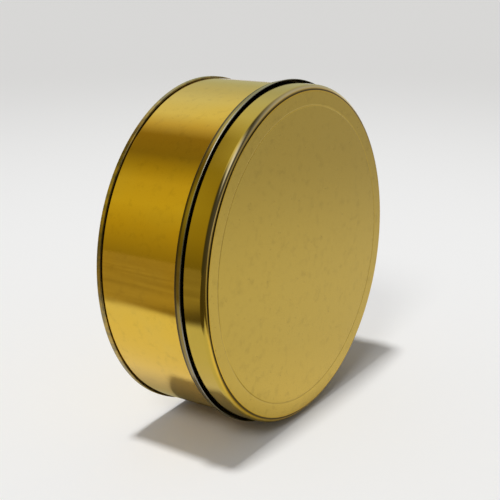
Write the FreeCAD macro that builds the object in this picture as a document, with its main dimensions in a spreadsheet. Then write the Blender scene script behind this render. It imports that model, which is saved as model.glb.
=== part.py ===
"""Round sheet-metal tin with a slip-on lid, lying on its rims with the lid to the front.

Every piece is a body of revolution, drawn upright: the axis is Z, the base seam stands on
Z = 0 and the lid's panel is at tin_height. The pieces are then laid over about X, so that the
lid faces -Y, and the lid's lip and the base seam both rest on the ground plane Z = 0.
"""
import FreeCAD, Part
import math
import os

import Sketcher

# ---------------------------------------------------------------- driving dimensions, mm
DIMENSIONS = [
    ("wall_radius", 95.0, "outside radius of the straight wall"),
    ("tin_height", 70.0, "base seam to lid panel"),
    ("sheet_gauge", 0.25, "thickness of the tinplate"),
    ("weld_half", 0.6, "half the width of the side seam's sunk line"),
    ("weld_depth", 0.12, "depth of the side seam's sunk line"),
    ("seam_proud", 1.0, "how far the base seam stands out from the wall"),
    ("seam_height", 2.8, "height of the base seam"),
    ("seam_round", 0.5, "rounding of the base seam's corners"),
    ("crevice_width", 0.35, "gap between the base seam's free edge and the wall"),
    ("crevice_depth", 0.8, "depth of that gap"),
    ("chuck_inset", 1.0, "how far the recess wall of the base lies inside the wall"),
    ("base_recess", 3.0, "depth of the base panel inside its seam"),
    ("foot_round", 0.9, "rounding between recess wall and base panel"),
    ("rim_round", 2.3, "rounding of the wall's top, under the lid"),
    ("lid_clearance", 0.35, "gap between the wall and the top of the lid's skirt"),
    ("lid_depth", 18.0, "mouth of the lid to its panel"),
    ("skirt_flare", 0.6, "how far the skirt opens out towards the lid's mouth"),
    ("shoulder_round", 2.8, "rounding from the skirt to the top of the lid"),
    ("panel_inset", 3.0, "lid panel's edge, inside the top of the skirt's outer face"),
    ("panel_step", 0.45, "rise of the lid panel above the shoulder"),
    ("panel_round", 0.3, "rounding of the lid panel's edge"),
    ("hem_round", 0.55, "outside radius of the bend that turns the lid's mouth up"),
    ("lip_out", 0.7, "how far the lip stands out further than the bend"),
    ("lip_height", 3.5, "height of the lip's outer edge over the middle of the bend"),
    ("lip_round", 0.3, "rounding of the lip's outer edge"),
    ("stamp_radius", 84.4, "radius of the ring stamped in each end"),
    ("stamp_half", 0.6, "half the width of the stamped ring"),
    ("stamp_depth", 0.15, "depth of the stamped ring"),
    ("flat_depth", 0.15, "depth of the flat spots that the tin rests on"),
]
ZERO = ()


def make_sheet(doc):
    """One row for each driving dimension: its alias, its value and what it is."""
    sheet = doc.addObject("Spreadsheet::Sheet", "sizes")
    for row, (name, value, note) in enumerate(DIMENSIONS, start=1):
        sheet.set("A%d" % row, name)
        sheet.set("B%d" % row, str(value))
        sheet.set("C%d" % row, note)
        sheet.setAlias("B%d" % row, name)
    doc.recompute()
    return sheet


def plane_of(body, role):
    """The origin plane of a body with the given role, such as XZ_Plane."""
    for feature in body.Origin.OriginFeatures:
        if feature.Role == role:
            return feature
    raise ValueError("no plane " + role)


# A coordinate below is a tuple of dimension names that are added up. A name after a minus sign
# is taken away, and an empty tuple is zero.
def total(sheet, terms):
    """The value of a coordinate, read from the sheet."""
    value = 0.0
    for term in terms:
        size = float(sheet.get(term.lstrip("-")))
        value += -size if term.startswith("-") else size
    return value


def formula(terms):
    """The same coordinate as an expression on the sheet."""
    text = "0"
    for term in terms:
        sign = " - " if term.startswith("-") else " + "
        text += sign + "sizes." + term.lstrip("-")
    return text


class Profile:
    """A closed outline of lines and arcs in a sketch, with every corner bound to the sheet."""

    def __init__(self, sheet, body, name, role):
        self.sheet = sheet
        self.corners = []
        self.arcs = {}
        self.sketch = body.newObject("Sketcher::SketchObject", name)
        self.sketch.AttachmentSupport = [(plane_of(body, role), "")]
        self.sketch.MapMode = "FlatFace"

    def point(self, across, along):
        """A place in the sketch as a vector."""
        return FreeCAD.Vector(total(self.sheet, across), total(self.sheet, along), 0)

    def corner(self, across, along, loose=""):
        """The next corner. The coordinate named by loose follows from the arc that meets it."""
        self.corners.append((across, along, loose))

    def arc(self, across, along, turn):
        """Makes the next side an arc about this centre; turn is 1 anticlockwise, -1 clockwise."""
        self.arcs[len(self.corners) - 1] = (across, along, turn)

    def fix(self, geometry, point, across, along, loose=""):
        """Binds a point's two coordinates to the sheet."""
        for kind, axis, terms, mark in (("DistanceX", -2, across, "x"), ("DistanceY", -1, along, "y")):
            if mark in loose:
                continue
            if not terms:
                self.sketch.addConstraint(Sketcher.Constraint("PointOnObject", geometry, point, axis))
                continue
            rule = Sketcher.Constraint(kind, -1, 1, geometry, point, total(self.sheet, terms))
            number = self.sketch.addConstraint(rule)
            self.sketch.setExpression("Constraints[%d]" % number, formula(terms))

    def add_side(self, index):
        """Adds one side and returns its geometry number and its first and last points."""
        first = self.corners[index]
        last = self.corners[(index + 1) % len(self.corners)]
        start = self.point(first[0], first[1])
        end = self.point(last[0], last[1])
        if index not in self.arcs:
            return self.sketch.addGeometry(Part.LineSegment(start, end), False), 1, 2
        across, along, turn = self.arcs[index]
        middle = self.point(across, along)
        angles = [math.atan2(point.y - middle.y, point.x - middle.x) for point in (start, end)]
        if turn < 0:
            angles.reverse()
        fixed = end if first[2] else start
        circle = Part.Circle(middle, FreeCAD.Vector(0, 0, 1), fixed.sub(middle).Length)
        side = self.sketch.addGeometry(Part.ArcOfCircle(circle, angles[0], angles[1]), False)
        self.fix(side, 3, across, along)
        return (side, 1, 2) if turn > 0 else (side, 2, 1)

    def close(self):
        """Draws the sides, joins them end to end and fixes every corner."""
        sides = [self.add_side(index) for index in range(len(self.corners))]
        for index, (side, first, _last) in enumerate(sides):
            before, _first, end = sides[index - 1]
            self.sketch.addConstraint(Sketcher.Constraint("Coincident", before, end, side, first))
            across, along, loose = self.corners[index]
            self.fix(side, first, across, along, loose)
        return self.sketch


def revolve(doc, body, sketch, name):
    """Turns an outline once about the sketch's upright axis."""
    doc.recompute()
    turned = body.newObject("PartDesign::Revolution", name)
    turned.Profile = sketch
    turned.ReferenceAxis = (sketch, ["V_Axis"])
    turned.Angle = 360.0
    body.Tip = turned
    doc.recompute()
    return turned


# ---------------------------------------------------------------- coordinates that pieces share
SEAM_OUT = ("wall_radius", "seam_proud")
CHUCK = ("wall_radius", "-chuck_inset")
CHUCK_OUT = CHUCK + ("sheet_gauge",)
CREVICE_OUT = ("wall_radius", "crevice_width")
CREVICE_END = ("seam_height", "-crevice_depth")
BASE_INSIDE = ("base_recess", "sheet_gauge")
SKIRT_IN = ("wall_radius", "lid_clearance")
SKIRT_OUT = SKIRT_IN + ("sheet_gauge",)
SHOULDER_EDGE = SKIRT_OUT + ("-shoulder_round",)
PANEL_EDGE = SKIRT_OUT + ("-panel_inset",)
LEDGE = ("tin_height", "-panel_step")
LEDGE_INSIDE = LEDGE + ("-sheet_gauge",)
SHOULDER_END = LEDGE + ("-shoulder_round",)
MOUTH_IN = SKIRT_IN + ("skirt_flare",)
MOUTH_OUT = MOUTH_IN + ("sheet_gauge",)
HEM_MIDDLE = MOUTH_IN + ("hem_round",)
HEM_LEVEL = ("tin_height", "-lid_depth", "hem_round")
HEM_OUT = HEM_MIDDLE + ("hem_round",)
LIP_OUT = HEM_OUT + ("lip_out",)
LIP_MIDDLE = LIP_OUT + ("-lip_round",)
LIP_LEVEL = HEM_LEVEL + ("lip_height",)


def stamp(outline, level, inward):
    """The stamped ring in an end panel: a shallow V, pressed inward from the panel's face."""
    outline.corner(("stamp_radius", "-stamp_half"), level)
    outline.corner(("stamp_radius",), level + (inward,))
    outline.corner(("stamp_radius", "stamp_half"), level)


def make_body(doc, sheet):
    """The wall and everything inside it, as one solid: the tin is shut and can't be seen into."""
    body = doc.addObject("PartDesign::Body", "body")
    outline = Profile(sheet, body, "body_outline", "XZ_Plane")
    outline.corner(ZERO, BASE_INSIDE)
    outline.corner(CHUCK_OUT, BASE_INSIDE)
    outline.corner(CHUCK_OUT, CREVICE_END)
    outline.corner(("wall_radius",), CREVICE_END)
    rim_level = LEDGE_INSIDE + ("-rim_round",)
    rim_across = ("wall_radius", "-rim_round")
    outline.corner(("wall_radius",), rim_level)
    outline.arc(rim_across, rim_level, 1)
    outline.corner(rim_across, LEDGE_INSIDE, "y")
    outline.corner(ZERO, LEDGE_INSIDE)
    turned = revolve(doc, body, outline.close(), "body_turned")
    whole = turned.Shape.Volume

    slot = Profile(sheet, body, "side_seam_outline", "XY_Plane")
    deep = ("wall_radius", "-weld_depth")
    clear = ("wall_radius", "weld_half")
    slot.corner(deep, ("-weld_half",))
    slot.corner(clear, ("-weld_half",))
    slot.corner(clear, ("weld_half",))
    slot.corner(deep, ("weld_half",))
    sketch = slot.close()
    doc.recompute()
    pocket = body.newObject("PartDesign::Pocket", "side_seam")
    pocket.Profile = sketch
    pocket.Type = "ThroughAll"
    pocket.Reversed = True
    body.Tip = pocket
    doc.recompute()
    if not pocket.Shape.Volume < whole:
        raise RuntimeError("the side seam cuts nothing")
    return body


def make_base_end(doc, sheet):
    """The base: a recessed panel, a recess wall and the seam that folds it onto the wall."""
    body = doc.addObject("PartDesign::Body", "base_sheet")
    outline = Profile(sheet, body, "base_outline", "XZ_Plane")
    outline.corner(ZERO, ("base_recess",))
    stamp(outline, ("base_recess",), "stamp_depth")
    foot_across = CHUCK + ("-foot_round",)
    foot_level = ("base_recess", "-foot_round")
    outline.corner(foot_across, ("base_recess",))
    outline.arc(foot_across, foot_level, -1)
    outline.corner(CHUCK, foot_level, "x")
    outline.corner(CHUCK, ("seam_round",))
    outline.arc(CHUCK + ("seam_round",), ("seam_round",), 1)
    outline.corner(CHUCK + ("seam_round",), ZERO, "y")
    outline.corner(SEAM_OUT + ("-seam_round",), ZERO)
    outline.arc(SEAM_OUT + ("-seam_round",), ("seam_round",), 1)
    outline.corner(SEAM_OUT, ("seam_round",), "x")
    outline.corner(SEAM_OUT, ("seam_height", "-seam_round"))
    outline.arc(SEAM_OUT + ("-seam_round",), ("seam_height", "-seam_round"), 1)
    outline.corner(SEAM_OUT + ("-seam_round",), ("seam_height",), "y")
    outline.corner(CREVICE_OUT, ("seam_height",))
    outline.corner(CREVICE_OUT, CREVICE_END)
    outline.corner(CHUCK_OUT, CREVICE_END)
    outline.corner(CHUCK_OUT, BASE_INSIDE)
    outline.corner(ZERO, BASE_INSIDE)
    revolve(doc, body, outline.close(), "base_turned")
    return body


def make_lid(doc, sheet):
    """The lid, drawn from one sheet: raised panel, shoulder, skirt and an open hem at the mouth."""
    body = doc.addObject("PartDesign::Body", "lid_sheet")
    outline = Profile(sheet, body, "lid_outline", "XZ_Plane")
    outline.corner(ZERO, ("tin_height",))
    stamp(outline, ("tin_height",), "-stamp_depth")
    outline.corner(PANEL_EDGE + ("-panel_round",), ("tin_height",))
    outline.arc(PANEL_EDGE + ("-panel_round",), ("tin_height", "-panel_round"), -1)
    outline.corner(PANEL_EDGE, ("tin_height", "-panel_round"), "x")
    outline.corner(PANEL_EDGE, LEDGE)
    outline.corner(SHOULDER_EDGE, LEDGE)
    outline.arc(SHOULDER_EDGE, SHOULDER_END, -1)
    outline.corner(SKIRT_OUT, SHOULDER_END, "x")
    outline.corner(MOUTH_OUT, HEM_LEVEL)
    outline.arc(HEM_MIDDLE, HEM_LEVEL, 1)
    outline.corner(HEM_OUT + ("-sheet_gauge",), HEM_LEVEL, "x")
    outline.corner(LIP_MIDDLE, LIP_LEVEL)
    outline.corner(LIP_MIDDLE, LIP_LEVEL + ("lip_round",))
    outline.arc(LIP_MIDDLE, LIP_LEVEL, -1)
    outline.corner(LIP_OUT, LIP_LEVEL, "x")
    outline.corner(HEM_OUT, HEM_LEVEL)
    outline.arc(HEM_MIDDLE, HEM_LEVEL, -1)
    outline.corner(MOUTH_IN, HEM_LEVEL, "x")
    outline.corner(SKIRT_IN, SHOULDER_END)
    outline.arc(SHOULDER_EDGE, SHOULDER_END, 1)
    outline.corner(SHOULDER_EDGE, LEDGE_INSIDE, "y")
    outline.corner(PANEL_EDGE + ("-sheet_gauge",), LEDGE_INSIDE)
    outline.corner(PANEL_EDGE + ("-sheet_gauge",), ("tin_height", "-sheet_gauge"))
    outline.corner(ZERO, ("tin_height", "-sheet_gauge"))
    revolve(doc, body, outline.close(), "lid_turned")
    return body


# ---------------------------------------------------------------- laying the tin on its side
def rounded_rim(sheet, across, along, rounding):
    """A rounded rim: the radius and the level of its rounding's middle, and the rounding."""
    return total(sheet, across), total(sheet, along), total(sheet, (rounding,))


def resting_place(sheet):
    """The placement that lays the tin on its side, on the lid's lip and the base seam.

    The lip stands out further than the seam, so the axis rises towards the lid, by the angle
    at which one plane touches both rims. Both rims then reach below that plane by flat_depth.
    The tin is centred front to back between the base seam's top and the lid panel's foot.
    """
    lip_radius, lip_level, lip_round = rounded_rim(sheet, LIP_MIDDLE, LIP_LEVEL, "lip_round")
    seam_radius, seam_level, seam_round = rounded_rim(
        sheet, SEAM_OUT + ("-seam_round",), ("seam_round",), "seam_round")
    wider = lip_radius - seam_radius
    apart = lip_level - seam_level
    rise = math.asin((lip_round - seam_round) / math.hypot(wider, apart)) + math.atan2(wider, apart)
    sine = math.sin(rise)
    cosine = math.cos(rise)
    height = lip_radius * cosine - lip_level * sine + lip_round - total(sheet, ("flat_depth",))

    panel_radius, panel_level, panel_round = rounded_rim(
        sheet, PANEL_EDGE + ("-panel_round",), ("tin_height", "-panel_round"), "panel_round")
    front = -panel_radius * sine - panel_level * cosine - panel_round
    back = seam_radius * sine - seam_level * cosine + seam_round
    print("axis rises %.3f degrees to a height of %.3f over the base" % (math.degrees(rise), height))
    turn = FreeCAD.Rotation(FreeCAD.Vector(1, 0, 0), 90.0 - math.degrees(rise))
    return FreeCAD.Placement(FreeCAD.Vector(0, -(front + back) / 2, height), turn)


def make_ground(doc):
    """A block with its top face on the ground plane, larger than the tin's footprint."""
    ground = doc.addObject("Part::Box", "ground")
    ground.setExpression("Length", "2 * sizes.wall_radius")
    ground.setExpression("Width", "2 * sizes.wall_radius")
    ground.setExpression("Height", "sizes.wall_radius")
    doc.recompute()
    ground.Placement.Base = FreeCAD.Vector(-ground.Length / 2, -ground.Width / 2, -ground.Height)
    return ground


def flatten(doc, rimmed, ground, name):
    """Takes the ground block from a rimmed piece, which leaves a small flat spot to rest on."""
    cut = doc.addObject("Part::Cut", name)
    cut.Base = rimmed
    cut.Tool = ground
    doc.recompute()
    spots = [face for face in cut.Shape.Faces if face.BoundBox.ZMax < total(doc.sizes, ("flat_depth",))]
    if len(spots) != 1:
        raise RuntimeError(name + " has no flat spot")
    return cut


def check(doc, pieces):
    """Stops on any failed object and on any piece whose shape isn't one valid solid."""
    for item in doc.Objects:
        if "Invalid" in item.State or "Error" in item.State:
            raise RuntimeError("%s is %s" % (item.Name, item.State))
    for piece in pieces:
        shape = piece.Shape
        if shape.isNull() or not shape.isValid() or len(shape.Solids) != 1:
            raise RuntimeError(piece.Label + " isn't one valid solid")


def main():
    doc = FreeCAD.newDocument("round_tin")
    sheet = make_sheet(doc)
    body = make_body(doc, sheet)
    base_sheet = make_base_end(doc, sheet)
    lid_sheet = make_lid(doc, sheet)
    place = resting_place(sheet)
    for piece in (body, base_sheet, lid_sheet):
        piece.Placement = place
    ground = make_ground(doc)
    doc.recompute()
    base_end = flatten(doc, base_sheet, ground, "base_end")
    lid = flatten(doc, lid_sheet, ground, "lid")
    pieces = (body, base_end, lid)
    check(doc, pieces)
    os.makedirs("parts", exist_ok=True)
    for piece in pieces:
        box = piece.Shape.BoundBox
        print("%-9s volume %10.1f  x %.2f %.2f  y %.2f %.2f  z %.2f %.2f" % (
            piece.Label, piece.Shape.Volume, box.XMin, box.XMax, box.YMin, box.YMax, box.ZMin, box.ZMax))
        piece.Shape.exportStep(os.path.join("parts", piece.Label + ".step"))


main()
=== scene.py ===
"""A round gold tin lying on its rims, with its slip-on lid to the front.

Every piece is turned about the tin's axis: an outline of lines and arcs in millimetres, drawn
upright, is swept round that axis and then laid over into the frame.
"""
import math

import bpy
import numpy as np
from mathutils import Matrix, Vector


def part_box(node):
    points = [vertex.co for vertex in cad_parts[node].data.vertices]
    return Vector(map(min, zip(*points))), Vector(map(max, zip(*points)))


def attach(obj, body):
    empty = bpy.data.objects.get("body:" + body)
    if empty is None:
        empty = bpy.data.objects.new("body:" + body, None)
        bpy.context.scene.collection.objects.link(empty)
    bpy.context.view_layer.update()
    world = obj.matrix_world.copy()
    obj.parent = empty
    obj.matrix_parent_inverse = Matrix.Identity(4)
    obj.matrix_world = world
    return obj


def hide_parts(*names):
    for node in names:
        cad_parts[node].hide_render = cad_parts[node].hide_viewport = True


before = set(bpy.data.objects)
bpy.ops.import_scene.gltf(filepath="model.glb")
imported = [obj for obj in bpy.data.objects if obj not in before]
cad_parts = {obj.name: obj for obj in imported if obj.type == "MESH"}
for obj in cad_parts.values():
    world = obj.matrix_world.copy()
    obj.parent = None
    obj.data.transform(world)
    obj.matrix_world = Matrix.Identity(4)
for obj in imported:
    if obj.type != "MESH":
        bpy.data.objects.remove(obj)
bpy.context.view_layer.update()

MM = 0.001

# ---------------------------------------------------------------- sizes, mm
WALL = round(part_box("body")[1].x / MM, 2)       # radius of the straight wall
TIN_HEIGHT = 70.0
GAUGE = 0.25                                    # tinplate
WELD_HALF = 0.6                                 # side seam
WELD_DEPTH = 0.12
SEAM_PROUD = 1.0                                # base seam
SEAM_HEIGHT = 2.8
SEAM_ROUND = 0.5
CREVICE_WIDTH = 0.35
CREVICE_DEPTH = 0.8
CHUCK_INSET = 1.0
BASE_RECESS = 3.0
FOOT_ROUND = 0.9
RIM_ROUND = 2.3                                 # top of the wall, under the lid
LID_CLEARANCE = 0.35                            # lid
LID_DEPTH = 18.0
SKIRT_FLARE = 0.6
SHOULDER_ROUND = 2.8
PANEL_INSET = 3.0
PANEL_STEP = 0.45
PANEL_ROUND = 0.3
HEM_ROUND = 0.55                                # the lid's mouth, turned up to a lip
LIP_OUT = 0.7
LIP_HEIGHT = 3.5
LIP_ROUND = 0.3
STAMP_RADIUS = 84.4                             # ring stamped in each end
STAMP_HALF = 0.6
STAMP_DEPTH = 0.15
FLAT_DEPTH = 0.15                               # flats that the tin rests on
# waves of the wall's sheet: height, how many go round, twist in each mm of level, start
SHEET_WAVES = ((0.018, 7, 0.05, 0.0), (0.012, 13, -0.09, 1.3))

SKIRT_IN = WALL + LID_CLEARANCE
SKIRT = SKIRT_IN + GAUGE
PANEL_EDGE = SKIRT - PANEL_INSET
LEDGE = TIN_HEIGHT - PANEL_STEP
SHOULDER_END = LEDGE - SHOULDER_ROUND
MOUTH_IN = SKIRT_IN + SKIRT_FLARE
MOUTH = MOUTH_IN + GAUGE
HEM_MIDDLE = MOUTH_IN + HEM_ROUND
HEM_LEVEL = TIN_HEIGHT - LID_DEPTH + HEM_ROUND
HEM = HEM_MIDDLE + HEM_ROUND
LIP = HEM + LIP_OUT
LIP_LEVEL = HEM_LEVEL + LIP_HEIGHT
SEAM_OUT = WALL + SEAM_PROUD
CHUCK = WALL - CHUCK_INSET


def resting_place():
    """How the upright tin is laid over: the rise of its axis, the height and depth of its origin.

    One plane touches the lip's round and the seam's round; both reach below it by FLAT_DEPTH.
    """
    wider = LIP - LIP_ROUND - (SEAM_OUT - SEAM_ROUND)
    apart = LIP_LEVEL - SEAM_ROUND
    rise = math.asin((LIP_ROUND - SEAM_ROUND) / math.hypot(wider, apart)) + math.atan2(wider, apart)
    sine, cosine = math.sin(rise), math.cos(rise)
    height = (LIP - LIP_ROUND) * cosine - LIP_LEVEL * sine + LIP_ROUND - FLAT_DEPTH
    front = -(PANEL_EDGE - PANEL_ROUND) * sine - (TIN_HEIGHT - PANEL_ROUND) * cosine - PANEL_ROUND
    back = (SEAM_OUT - SEAM_ROUND) * sine - SEAM_ROUND * cosine + SEAM_ROUND
    return rise, height, -(front + back) / 2


RISE, HEIGHT, DEPTH = resting_place()


# ---------------------------------------------------------------- surfaces
TURNS = 480                                     # steps round the tin
SHARP_ANGLE = 32.0                              # degrees; sharper folds are shaded as edges
FAN_RADIUS = 6.0                                # a panel's middle, one fan of triangles
HIDDEN_FAN_RADIUS = 60.0                        # the same on faces that never show
STAMP_REACH = 2 * STAMP_HALF                    # the stamped ring's own outline ends within it
STAMP_SPREAD = 1.6                              # half the width of that outline, in STAMP_HALF
STAMP_SHARE = 0.45                              # half the width of the dent itself, likewise
SHORT_LEAD = 0.02                               # lead of a flat stretch beside a sharp fold


def straight(start, end, steps=1, lead=0.12):
    """Points from start up to, not including, end, with one close to each end.

    The close points, lead away, keep the shading of a flat stretch flat beside a round one.
    """
    start, end = np.array(start, float), np.array(end, float)
    length = np.hypot(*(end - start))
    if length <= 4 * lead:
        return start[None]
    share = np.concatenate([[0.0], np.linspace(lead / length, 1 - lead / length, steps + 1)])
    return start + share[:, None] * (end - start)


def arc(middle, radius, first, last, steps):
    """Points on a circle about middle from the angle first up to, not including, last (degrees)."""
    angle = np.radians(first + (last - first) * np.arange(steps) / steps)
    return np.stack([middle[0] + radius * np.cos(angle), middle[1] + radius * np.sin(angle)], 1)


def laid_over(upright):
    """Lays upright points over until the axis points to the front, and stands them on the floor.

    They turn about X by a right angle less RISE and move by DEPTH and HEIGHT. A point below the
    floor is raised to it, which leaves the flat spots under the rims.
    """
    x, y, z = upright.T
    sine, cosine = math.sin(RISE), math.cos(RISE)
    laid = np.stack([x, y * sine - z * cosine + DEPTH, y * cosine + z * sine + HEIGHT], 1)
    laid[:, 2] = np.maximum(laid[:, 2], 0.0)
    return laid * MM


def turned(name, outline, unevenness=None):
    """Sweeps an outline once round the axis.

    Point (i, j) has outline point i's radius and level, at the angle 2 pi j / TURNS. The outline
    runs from the axis to the axis, so its first and last points each become one vertex.
    unevenness(radius, level, angle) gives how far the sheet stands off along its own outward side.
    """
    inner = np.concatenate(outline)
    inner = inner[inner[:, 0] > 0]
    ahead, behind = np.roll(inner, -1, 0), np.roll(inner, 1, 0)
    along = ahead - behind
    outward = np.stack([along[:, 1], -along[:, 0]], 1) / np.hypot(*along.T)[:, None]
    angle = 2 * np.pi * np.arange(TURNS) / TURNS
    radius, level = (inner[:, k, None] + 0 * angle for k in (0, 1))
    if unevenness is not None:
        off = unevenness(radius, level, angle[None])
        radius = radius + off * outward[:, 0, None]
        level = level + off * outward[:, 1, None]
    grid = np.stack([radius * np.cos(angle), radius * np.sin(angle), level], 2).reshape(-1, 3)
    first, last = outline[0][0], outline[-1][-1]
    points = np.concatenate([grid, [[0, 0, first[1]], [0, 0, last[1]]]])

    ring = np.arange(TURNS)
    after = (ring + 1) % TURNS
    rows = np.arange(len(inner) - 1)[:, None] * TURNS
    quads = np.stack([rows + ring, rows + after, rows + TURNS + after, rows + TURNS + ring], 2)
    end = (len(inner) - 1) * TURNS
    start_fan = np.stack([after, ring, np.full(TURNS, len(grid))], 1)
    end_fan = np.stack([end + ring, end + after, np.full(TURNS, len(grid) + 1)], 1)
    faces = quads.reshape(-1, 4).tolist() + start_fan.tolist() + end_fan.tolist()

    mesh = bpy.data.meshes.new(name)
    mesh.from_pydata(laid_over(points), [], faces)
    mesh.shade_smooth()
    mesh.set_sharp_from_angle(angle=math.radians(SHARP_ANGLE))
    piece = bpy.data.objects.new(name, mesh)
    bpy.context.scene.collection.objects.link(piece)
    return piece


def stamped(level, inward):
    """The stamped ring's outline in an end panel, from the inside out: a shallow soft V.

    Its depth is STAMP_DEPTH over one plus the fourth power of the distance from the ring's
    radius, counted in STAMP_SHARE of STAMP_HALF.
    """
    across = np.linspace(-STAMP_SPREAD, STAMP_SPREAD, 17) * STAMP_HALF
    dent = 1 / (1 + (across / (STAMP_SHARE * STAMP_HALF)) ** 4)
    return np.stack([STAMP_RADIUS + across, level + inward * STAMP_DEPTH * dent], 1)


def panel_rings(level, inner, outer, count):
    """Plain rings of an end panel between two radii."""
    radius = np.linspace(inner, outer, count)
    return np.stack([radius, np.full(count, level)], 1)


# ---------------------------------------------------------------- pieces
def make_wall():
    """The wall, with the side seam's line sunk in it. The base and the lid hide its ends."""
    bottom = BASE_RECESS + GAUGE
    chuck = CHUCK + GAUGE
    low = SEAM_HEIGHT - CREVICE_DEPTH
    top = LEDGE - GAUGE - RIM_ROUND

    def unevenness(radius, level, angle):
        """Long shallow waves of the sheet, and the side seam's sunk line at angle 0.

        The line is WELD_DEPTH deep over one plus the fourth power of the distance along the
        wall, counted in WELD_HALF. The waves are sines of the angle that twist with the level.
        """
        off = (angle + math.pi) % (2 * math.pi) - math.pi
        sunk = -WELD_DEPTH / (1 + (off * WALL / WELD_HALF) ** 4)
        waves = sum(height * np.sin(count * angle + twist * level + start)
                    for height, count, twist, start in SHEET_WAVES)
        on_wall = radius > WALL - 0.5
        return on_wall * (sunk + waves)

    outline = [
        np.array([[0, bottom]]),
        straight((HIDDEN_FAN_RADIUS, bottom), (chuck, bottom)),
        straight((chuck, bottom), (chuck, low)),
        straight((chuck, low), (WALL, low)),
        straight((WALL, low), (WALL, top), 40),
        arc((WALL - RIM_ROUND, top), RIM_ROUND, 0, 90, 8),
        straight((WALL - RIM_ROUND, top + RIM_ROUND), (HIDDEN_FAN_RADIUS, top + RIM_ROUND)),
        np.array([[0, top + RIM_ROUND]]),
    ]
    return turned("wall", outline, unevenness)


def make_base_end():
    """The base end: recessed panel, recess wall and the seam folded onto the wall."""
    foot = (CHUCK - FOOT_ROUND, BASE_RECESS - FOOT_ROUND)
    back = BASE_RECESS + GAUGE
    inner = CHUCK + SEAM_ROUND
    outer = SEAM_OUT - SEAM_ROUND
    crevice = WALL + CREVICE_WIDTH
    bottom = SEAM_HEIGHT - CREVICE_DEPTH
    outline = [
        np.array([[0, BASE_RECESS]]),
        panel_rings(BASE_RECESS, FAN_RADIUS, STAMP_RADIUS - STAMP_REACH, 14),
        stamped(BASE_RECESS, 1),
        straight((STAMP_RADIUS + STAMP_REACH, BASE_RECESS), (foot[0], BASE_RECESS), 2),
        arc(foot, FOOT_ROUND, 90, 0, 10),
        straight((CHUCK, foot[1]), (CHUCK, SEAM_ROUND)),
        arc((inner, SEAM_ROUND), SEAM_ROUND, 180, 270, 10),
        arc((outer, SEAM_ROUND), SEAM_ROUND, 270, 360, 10),
        straight((SEAM_OUT, SEAM_ROUND), (SEAM_OUT, SEAM_HEIGHT - SEAM_ROUND), 2),
        arc((outer, SEAM_HEIGHT - SEAM_ROUND), SEAM_ROUND, 0, 90, 10),
        straight((outer, SEAM_HEIGHT), (crevice, SEAM_HEIGHT), lead=SHORT_LEAD),
        straight((crevice, SEAM_HEIGHT), (crevice, bottom)),
        straight((crevice, bottom), (CHUCK + GAUGE, bottom)),
        straight((CHUCK + GAUGE, bottom), (CHUCK + GAUGE, back)),
        straight((CHUCK + GAUGE, back), (HIDDEN_FAN_RADIUS, back)),
        np.array([[0, back]]),
    ]
    return turned("base_end_sheet", outline)


def make_lid():
    """The lid: stamped panel, small step, round shoulder, flared skirt and the open hem's lip."""
    inside = LEDGE - GAUGE
    panel_inside = TIN_HEIGHT - GAUGE
    step = PANEL_EDGE - GAUGE
    panel_corner = (PANEL_EDGE - PANEL_ROUND, TIN_HEIGHT - PANEL_ROUND)
    shoulder = (SKIRT - SHOULDER_ROUND, SHOULDER_END)
    hem = (HEM_MIDDLE, HEM_LEVEL)
    lip = (LIP - LIP_ROUND, LIP_LEVEL)
    outline = [
        np.array([[0, panel_inside]]),
        straight((HIDDEN_FAN_RADIUS, panel_inside), (step, panel_inside)),
        straight((step, panel_inside), (step, inside)),
        straight((step, inside), (shoulder[0], inside)),
        arc(shoulder, SHOULDER_ROUND - GAUGE, 90, 0, 8),
        straight((SKIRT_IN, SHOULDER_END), (MOUTH_IN, HEM_LEVEL)),
        arc(hem, HEM_ROUND, 180, 360, 20),
        straight((HEM, HEM_LEVEL), (LIP, LIP_LEVEL), 4),
        arc(lip, LIP_ROUND, 0, 90, 8),
        straight((lip[0], LIP_LEVEL + LIP_ROUND), lip),
        straight(lip, (HEM - GAUGE, HEM_LEVEL), 4),
        arc(hem, HEM_ROUND - GAUGE, 360, 180, 14),
        straight((MOUTH, HEM_LEVEL), (SKIRT, SHOULDER_END), 6),
        arc(shoulder, SHOULDER_ROUND, 0, 90, 20),
        straight((shoulder[0], LEDGE), (PANEL_EDGE, LEDGE), lead=SHORT_LEAD),
        straight((PANEL_EDGE, LEDGE), (PANEL_EDGE, panel_corner[1]), lead=SHORT_LEAD),
        arc(panel_corner, PANEL_ROUND, 0, 90, 8),
        straight((panel_corner[0], TIN_HEIGHT), (STAMP_RADIUS + STAMP_REACH, TIN_HEIGHT), 3),
        stamped(TIN_HEIGHT, -1)[::-1],
        panel_rings(TIN_HEIGHT, STAMP_RADIUS - STAMP_REACH, FAN_RADIUS, 14),
        np.array([[0, TIN_HEIGHT]]),
    ]
    return turned("lid_sheet", outline)


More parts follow.
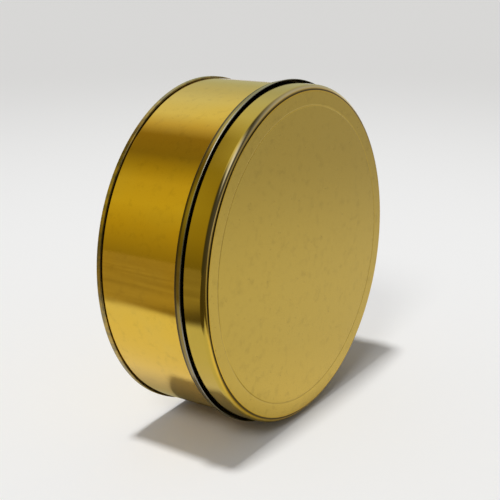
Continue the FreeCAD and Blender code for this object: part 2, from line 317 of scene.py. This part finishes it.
# ---------------------------------------------------------------- shader writing
class Wire:
    """One output of a node. Expressions on wires add the Math nodes that work them out."""

    def __init__(self, tree, socket=None):
        self.tree = tree
        self.socket = socket

    def node(self, kind, settings=None, inputs=None, output=0):
        """Adds a node of any kind: its settings first, then its sockets' values or links."""
        made = self.tree.nodes.new("ShaderNode" + kind)
        for name, value in (settings or {}).items():
            if name != "stops":
                setattr(made, name, value)
                continue
            ramp = made.color_ramp
            while len(ramp.elements) < len(value):
                ramp.elements.new(0.5)
            for element, (place, shade) in zip(ramp.elements, value):
                element.position = place
                element.color = (*shade, 1.0)
        for key, value in (inputs or {}).items():
            if isinstance(value, Wire):
                self.tree.links.new(value.socket, made.inputs[key])
            else:
                made.inputs[key].default_value = value
        return Wire(self.tree, made.outputs[output] if made.outputs else None)

    def math(self, operation, *values):
        """One Math node."""
        return self.node("Math", {"operation": operation}, dict(enumerate(values)))

    def __add__(self, other):
        return self.math("ADD", self, other)

    def __radd__(self, other):
        return self.math("ADD", other, self)

    def __sub__(self, other):
        return self.math("SUBTRACT", self, other)

    def __rsub__(self, other):
        return self.math("SUBTRACT", other, self)

    def __mul__(self, other):
        return self.math("MULTIPLY", self, other)

    def __rmul__(self, other):
        return self.math("MULTIPLY", other, self)

    def __truediv__(self, other):
        return self.math("DIVIDE", self, other)

    def __rtruediv__(self, other):
        return self.math("DIVIDE", other, self)

    def __pow__(self, other):
        return self.math("POWER", self, other)

    def __rpow__(self, other):
        return self.math("POWER", other, self)

    def ease(self, start, end, low=0.0, high=1.0):
        """Goes smoothly from low to high as the wire goes from start to end."""
        return self.node("MapRange", {"interpolation_type": "SMOOTHSTEP"},
                         {0: self, 1: start, 2: end, 3: low, 4: high})

    def parts(self):
        """The three numbers of a vector."""
        return [self.node("SeparateXYZ", {}, {0: self}, axis) for axis in range(3)]


def mix(factor, first, second):
    """A colour between two colours."""
    return factor.node("Mix", {"data_type": "RGBA"}, {0: factor, 6: first, 7: second}, 2)


def new_tree(holder):
    """Clears a material's or a world's nodes and returns a wire to start from."""
    holder.use_nodes = True
    holder.node_tree.nodes.clear()
    return Wire(holder.node_tree)


# ---------------------------------------------------------------- tinplate
GOLD = (0.76, 0.490, 0.055, 1)                  # lacquer over bright tin
GOLD_WORN = (0.72, 0.490, 0.080, 1)             # the same where it is thin or rubbed
GOLD_SATIN = (0.70, 0.505, 0.100, 1)            # the matt face of the panels
GOLD_DULL = (0.50, 0.365, 0.055, 1)             # the lid's skirt, handled more
DIRT_AND_SHADE = (0.055, 0.036, 0.010, 1)                # dark specks and mottle of dirt, and painted shade in creases, grooves and crevices
SHADED_TIN = (0.30, 0.285, 0.24, 1)               # bare tin of the lip, painted in shade away from the top
BARE_TIN_AND_GLINT = (0.90, 0.87, 0.76, 1)                    # bright bare tin along the side seam, and the painted highlight on the shoulder and the lip's top
SEAM_TIN = (0.20, 0.17, 0.09, 1)                # the base seam, rubbed and tarnished
WALL_GLOSS = 0.085                              # roughness of the glossy places
BASE_GLOSS = 0.11
LID_GLOSS = 0.10
CLOUD_WAVES = (0.03, 0.03, 0.03)                # waves of noise in each mm along X, Y and level
STREAK_WAVES = (2.6, 0.05, 0.5)
MOTTLE_WAVES = (0.22, 0.22, 0.22)
SPECK_WAVES = (0.7, 0.7, 0.7)
PATCH_WAVES = (0.25, 0.25, 0.25)


def tin_place(start):
    """Object coordinates turned back to the upright tin, in mm: whole, X, Y, level and radius."""
    seen = start.node("TexCoord", output=3)
    upright = start.node("Mapping", {"vector_type": "TEXTURE"}, {
        "Vector": seen, "Location": (0.0, DEPTH * MM, HEIGHT * MM),
        "Rotation": (math.radians(90) - RISE, 0.0, 0.0), "Scale": (MM, MM, MM)})
    x, y, level = upright.parts()
    radius = (x * x + y * y) ** 0.5
    return upright, x, y, level, radius


def noise(place, waves, detail=2.0, distortion=0.0):
    """Cloudy noise round 0.5, with so many waves in each unit of length along the three axes."""
    scaled = place.node("VectorMath", {"operation": "MULTIPLY"}, {0: place, 1: waves})
    return place.node("TexNoise", {}, {
        "Vector": scaled, "Scale": 1.0, "Detail": detail, "Distortion": distortion})


def near(wire, middle, reach):
    """One at middle, falling smoothly to nothing at reach on both sides."""
    return wire.ease(middle - reach, middle) * wire.ease(middle + reach, middle)


def finish_metal(start, colour, roughness, bump):
    """Joins colour, roughness and bump into the lacquered metal's shader."""
    shader = start.node("BsdfPrincipled", {}, {
        "Base Color": colour, "Metallic": 1.0, "Roughness": roughness, "Normal": bump,
        "Coat Weight": 0.12, "Coat Roughness": 0.08, "Coat IOR": 1.4})
    start.node("OutputMaterial", {}, {0: shader})


def rolled_gold(start, upright, satin, gloss):
    """Gold lacquer on rolled tinplate: its colour, its roughness and its grain as bump.

    satin is 1 on matt places and 0 on glossy ones, and gloss is the roughness of the latter.
    """
    cloud = noise(upright, CLOUD_WAVES, 3.0)
    streak = noise(upright, STREAK_WAVES, 3.0)
    mottle = noise(upright, MOTTLE_WAVES, 3.0) - 0.5
    speck = noise(upright, SPECK_WAVES, 1.0).ease(0.71, 0.77) * (satin * 0.8 + 0.2)
    worn = cloud.ease(0.42, 0.68, 0.0, 0.55) + (streak - 0.5) * 0.5 * satin
    colour = mix(worn, GOLD, GOLD_WORN)
    colour = mix(satin * 0.85, colour, GOLD_SATIN)
    colour = mix(speck * 0.4 + mottle.ease(0.0, 0.3) * 0.12, colour, DIRT_AND_SHADE)
    roughness = gloss + satin * 0.10 + (streak - 0.5) * 0.05 + mottle * 0.06 + speck * 0.12
    bump = start.node("Bump", {}, {"Strength": 0.08, "Distance": 0.00003, "Height": streak})
    return colour, roughness, bump


def wall_material():
    """The wall: glossy lacquer, thin along the side seam and with painted shade where it meets the
    base seam.
    """
    material = bpy.data.materials.new("wall_gold")
    start = new_tree(material)
    upright, x, y, level, _radius = tin_place(start)
    colour, roughness, bump = rolled_gold(start, upright, x * 0.0, WALL_GLOSS)
    seam = near(y, 0.0, 1.1) * x.ease(0.0, 1.0)
    colour = mix(seam * 0.3, colour, BARE_TIN_AND_GLINT)
    # painted shade: the wall darkens towards the base seam's crevice
    low = level.ease(SEAM_HEIGHT + 0.55, SEAM_HEIGHT + 0.05)
    colour = mix(low * 0.75, colour, DIRT_AND_SHADE)
    finish_metal(start, colour, roughness + low * 0.2, bump)
    return material


def base_material():
    """The base end: satin panel, glossy recess and a dull greyish seam, with painted shade in the
    seam's fold and at the recess's foot.
    """
    material = bpy.data.materials.new("base_gold")
    start = new_tree(material)
    upright, _x, _y, level, radius = tin_place(start)
    satin = radius.ease(CHUCK - 2.0, CHUCK - 3.5)
    colour, roughness, bump = rolled_gold(start, upright, satin, BASE_GLOSS)
    wear_and_highlight = radius.ease(CHUCK + 0.1, CHUCK + 0.6)
    patchy = noise(upright, PATCH_WAVES).ease(0.35, 0.65, 0.55, 0.9)
    colour = mix(wear_and_highlight * patchy, colour, SEAM_TIN)
    # painted shade in the seam's fold against the wall and at the foot of the recess
    fold = near(radius, WALL + 0.1, 0.6) * level.ease(SEAM_HEIGHT - 0.3, SEAM_HEIGHT - 0.02)
    foot = near(radius, CHUCK - 0.2, 0.7) * level.ease(BASE_RECESS - 1.4, BASE_RECESS - 0.4)
    colour = mix(start.math("MAXIMUM", fold * 0.9, foot * 0.5), colour, DIRT_AND_SHADE)
    finish_metal(start, colour, roughness + wear_and_highlight * 0.12, bump)
    return material


def lid_material():
    """The lid: satin panel, glossy skirt and bare lip, with painted shade in the crease round the
    panel, along the stamped ring, on the hem and in its groove, and painted highlights on the upper
    shoulder and lip.
    """
    material = bpy.data.materials.new("lid_gold")
    start = new_tree(material)
    upright, _x, y, level, radius = tin_place(start)
    satin = radius.ease(PANEL_EDGE - 0.2, PANEL_EDGE - 1.2)
    colour, roughness, bump = rolled_gold(start, upright, satin, LID_GLOSS)
    skirt = radius.ease(SKIRT - 1.5, SKIRT - 0.5)
    colour = mix(skirt * 0.85, colour, GOLD_DULL)
    # painted highlight: pale bare tin on the shoulder, on its upper half only
    wear_and_highlight = near(radius, SKIRT - 1.1, 1.3) * level.ease(SHOULDER_END, SHOULDER_END + 1.0)
    colour = mix(wear_and_highlight * y.ease(0.0, 70.0) * 0.55, colour, BARE_TIN_AND_GLINT)
    # painted shade in the crease round the panel
    crease = near(radius, PANEL_EDGE + 0.2, 1.2) * level.ease(LEDGE + 0.42, LEDGE + 0.2)
    colour = mix(start.math("MINIMUM", crease * 1.5, 0.92), colour, DIRT_AND_SHADE)
    # painted shade along the stamped ring, dimming its reflected highlight
    stamp_line = near(radius, STAMP_RADIUS, 0.7) * level.ease(TIN_HEIGHT - 1.0, TIN_HEIGHT - 0.5)
    colour = mix(stamp_line * 0.12, colour, DIRT_AND_SHADE)
    beyond = radius.ease(MOUTH + 0.3, MOUTH + 0.7)
    # the upper part of the lid's rim, where the light from above gives a painted highlight
    upper_highlight = y.ease(30.0, 75.0) * y.ease(96.0, 82.0)
    # painted shade on the hem's outside, with less of it at the top where the light falls
    colour = mix(beyond * (0.6 - upper_highlight * 0.35), colour, DIRT_AND_SHADE)
    # painted shade inside the hem's groove
    groove = level.ease(LIP_LEVEL + 0.2, LIP_LEVEL - 0.4) * radius.ease(LIP - 0.33, LIP - 0.6)
    colour = mix(groove * 0.9, colour, DIRT_AND_SHADE)
    # the lip's bare tin, painted light at the top and in shade lower down
    lip = beyond * level.ease(LIP_LEVEL - 0.5, LIP_LEVEL + 0.05)
    colour = mix(lip, colour, mix(upper_highlight, SHADED_TIN, BARE_TIN_AND_GLINT))
    finish_metal(start, colour, roughness + lip * 0.1 + groove * 0.3, bump)
    return material


# ---------------------------------------------------------------- floor, light and camera, metres
FLOOR_REACH = 8.0
FLOOR_WAVES = (16.0, 4.0, 1.0)                  # streaks of the floor that reflections show
PAPER = (0.93, 0.93, 0.92, 1)                   # the floor near the tin, and far off: painted shade, darker with distance
PAPER_FAR = (0.74, 0.735, 0.72, 1)
BEYOND_DARK = (0.36, 0.29, 0.13, 1)             # reflections alone: left of the floor's edge
BEYOND_LIGHT = (0.50, 0.42, 0.21, 1)
BEYOND_FRONT = (0.10, 0.08, 0.045, 1)
FRONT_DARK = (0.10, 0.085, 0.055, 1)            # in front, on the left
UNDER_TIN = (0.46, 0.43, 0.26, 1)               # painted shadow under the tin, seen in reflections alone
RIGHT_FOOT = (0.80, 0.775, 0.68, 1)             # on the right, seen in reflections alone: painted shading, bright at the foot, darker near and far
RIGHT_NEAR = (0.70, 0.685, 0.62, 1)
RIGHT_FAR = (0.45, 0.44, 0.42, 1)


def make_floor():
    """A pale floor. The zones of other colours on it show in reflections alone."""
    mesh = bpy.data.meshes.new("floor")
    corners = [(-FLOOR_REACH, -FLOOR_REACH, 0), (FLOOR_REACH, -FLOOR_REACH, 0),
               (FLOOR_REACH, FLOOR_REACH, 0), (-FLOOR_REACH, FLOOR_REACH, 0)]
    mesh.from_pydata(corners, [], [(0, 1, 2, 3)])
    floor = bpy.data.objects.new("floor", mesh)
    bpy.context.scene.collection.objects.link(floor)
    material = bpy.data.materials.new("floor_paper")
    start = new_tree(material)
    place = start.node("TexCoord", output=3)
    x, y, _z = place.parts()
    away = (x * x + y * y) ** 0.5
    # painted shade: the floor darkens with distance from the tin
    colour = mix(away.ease(0.25, 1.3), PAPER, PAPER_FAR)
    glossy = start.node("LightPath", output=3)
    streak = noise(place, FLOOR_WAVES, 3.0, 0.5)
    beyond = mix(streak.ease(0.35, 0.65), BEYOND_DARK, BEYOND_LIGHT)
    beyond = mix(y.ease(0.13, 0.04), beyond, BEYOND_FRONT)
    edge = x + (streak - 0.5) * 0.05
    colour = mix(glossy * edge.ease(-0.195, -0.23), colour, beyond)
    front = x.ease(0.02, -0.08) * y.ease(-0.16, -0.24)
    colour = mix(glossy * front, colour, FRONT_DARK)
    # painted shadow at the tin's foot, seen in reflections alone
    under = x.ease(-0.085, -0.045) * away.ease(0.14, 0.09)
    colour = mix(glossy * under, colour, UNDER_TIN)
    # painted shading in reflections: bright at the tin's foot on the right, darker farther off
    right = x.ease(-0.04, 0.02) * y.ease(0.02, -0.05)
    facing = mix(away.ease(0.04, 0.16), RIGHT_FOOT, RIGHT_NEAR)
    facing = mix(away.ease(0.18, 0.8), facing, RIGHT_FAR)
    colour = mix(glossy * right, colour, facing)
    shader = start.node("BsdfDiffuse", {}, {"Color": colour})
    start.node("OutputMaterial", {}, {0: shader})
    mesh.materials.append(material)


WIDE_ARCH = [                                   # far back, from the left over the top to the right
    (0.0, (0.33, 0.27, 0.06)), (0.11, (0.52, 0.43, 0.07)), (0.2, (0.65, 0.57, 0.12)),
    (0.29, (0.60, 0.52, 0.12)), (0.35, (0.42, 0.35, 0.06)), (0.41, (0.25, 0.2, 0.05)),
    (0.50, (0.29, 0.22, 0.06)), (0.56, (0.65, 0.58, 0.4)), (0.62, (0.84, 0.86, 0.8)),
    (0.72, (0.78, 0.84, 0.8)), (0.81, (0.62, 0.66, 0.5)), (0.9, (0.52, 0.55, 0.34)),
    (1.0, (0.48, 0.49, 0.3))]
CLOSE_ARCH = [                                  # the same nearer to the middle
    (0.0, (0.27, 0.21, 0.04)), (0.11, (0.44, 0.34, 0.05)), (0.2, (0.46, 0.37, 0.06)),
    (0.29, (0.40, 0.31, 0.05)), (0.36, (0.44, 0.37, 0.1)), (0.42, (0.66, 0.60, 0.3)),
    (0.50, (0.66, 0.63, 0.36)), (0.62, (0.84, 0.86, 0.8)), (0.72, (0.78, 0.84, 0.8)),
    (0.81, (0.62, 0.66, 0.5)), (1.0, (0.48, 0.49, 0.3))]
FRONT_LEFT = (0.07, 0.065, 0.05, 1)
FRONT_RIGHT = (0.46, 0.44, 0.36, 1)
HORIZON = (0.80, 0.80, 0.74, 1)
CEILING_LIGHT = (1.0, 0.99, 0.95, 1)
ROOM_LIGHT = (0.225, 0.225, 0.23, 1)            # what lights the matt surfaces
BACKDROP = (0.70, 0.69, 0.675, 1)               # what shows behind the floor


def make_world():
    """Even room light, and for reflections a room: lit back corner, ceiling light and dim front.

    Over the back half the colour depends on the height round the Y axis, as the arches say.
    """
    world = bpy.data.worlds.new("room")
    bpy.context.scene.world = world
    start = new_tree(world)
    x, y, z = start.node("TexCoord", output=0).parts()
    round_y = start.math("ARCTAN2", z, 0 - x) / math.pi
    wide = start.node("ValToRGB", {"stops": WIDE_ARCH}, {0: round_y})
    close = start.node("ValToRGB", {"stops": CLOSE_ARCH}, {0: round_y})
    arch = mix(y.ease(0.56, 0.51), wide, close)
    front = mix(x.ease(0.15, 0.75), FRONT_LEFT, FRONT_RIGHT)
    front = mix(near(z, 0.02, 0.2) * x.ease(-0.3, 0.35) * 0.8, front, HORIZON)
    glow = mix(y.ease(0.44, -0.05), arch, front)
    ceiling = near(x, -0.2, 0.36) * z.ease(0.5, 0.72) * y.ease(0.47, 0.36) * y.ease(-0.85, -0.7)
    glow = mix(ceiling, glow, CEILING_LIGHT)
    glossy = start.node("LightPath", output=3)
    camera = start.node("LightPath", output=0)
    shade = mix(glossy, ROOM_LIGHT, glow)
    shade = mix(camera, shade, BACKDROP)
    light = start.node("Background", {}, {0: shade, 1: 1.0})
    start.node("OutputWorld", {}, {0: light})


def make_lamp(name, towards, strength, spread):
    """A distant soft lamp that shines from the direction towards."""
    lamp = bpy.data.lights.new(name, "SUN")
    lamp.energy = strength
    lamp.angle = math.radians(spread)
    holder = bpy.data.objects.new(name, lamp)
    holder.rotation_mode = "QUATERNION"
    holder.rotation_quaternion = Vector(towards).to_track_quat("Z", "Y")
    holder.visible_glossy = False
    bpy.context.scene.collection.objects.link(holder)


CAMERA_AZIMUTH = -56.345                        # degrees from the front, and above the floor
CAMERA_ELEVATION = 18.804
CAMERA_DISTANCE = 0.6091
CAMERA_AIM = (-0.00301, 0.0, 0.09579)
CAMERA_LENS = 75.80                             # mm, on a sensor of SENSOR_WIDTH
SENSOR_WIDTH = 36.0


def make_camera():
    """Looks down at the lid from its left."""
    azimuth, elevation = math.radians(CAMERA_AZIMUTH), math.radians(CAMERA_ELEVATION)
    back = Vector((math.sin(azimuth) * math.cos(elevation),
                   -math.cos(azimuth) * math.cos(elevation), math.sin(elevation)))
    camera = bpy.data.cameras.new("camera")
    camera.lens = CAMERA_LENS
    camera.sensor_width = SENSOR_WIDTH
    holder = bpy.data.objects.new("camera", camera)
    holder.location = Vector(CAMERA_AIM) + back * CAMERA_DISTANCE
    holder.rotation_mode = "QUATERNION"
    holder.rotation_quaternion = (-back).to_track_quat("-Z", "Y")
    bpy.context.scene.collection.objects.link(holder)
    bpy.context.scene.camera = holder


def finish_piece(piece, node, material):
    """Gives a piece its material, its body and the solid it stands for."""
    piece.data.materials.append(material)
    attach(piece, "root")
    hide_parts(node)


make_camera()
finish_piece(make_wall(), "body", wall_material())
finish_piece(make_base_end(), "base_end", base_material())
finish_piece(make_lid(), "lid", lid_material())
make_floor()
make_world()
make_lamp("main_lamp", (-0.19, 0.06, 1.0), 1.85, 6.5)
make_lamp("side_lamp", (-1.0, -0.24, 1.0), 0.56, 16.0)

bpy.context.scene.view_settings.view_transform = "Standard"
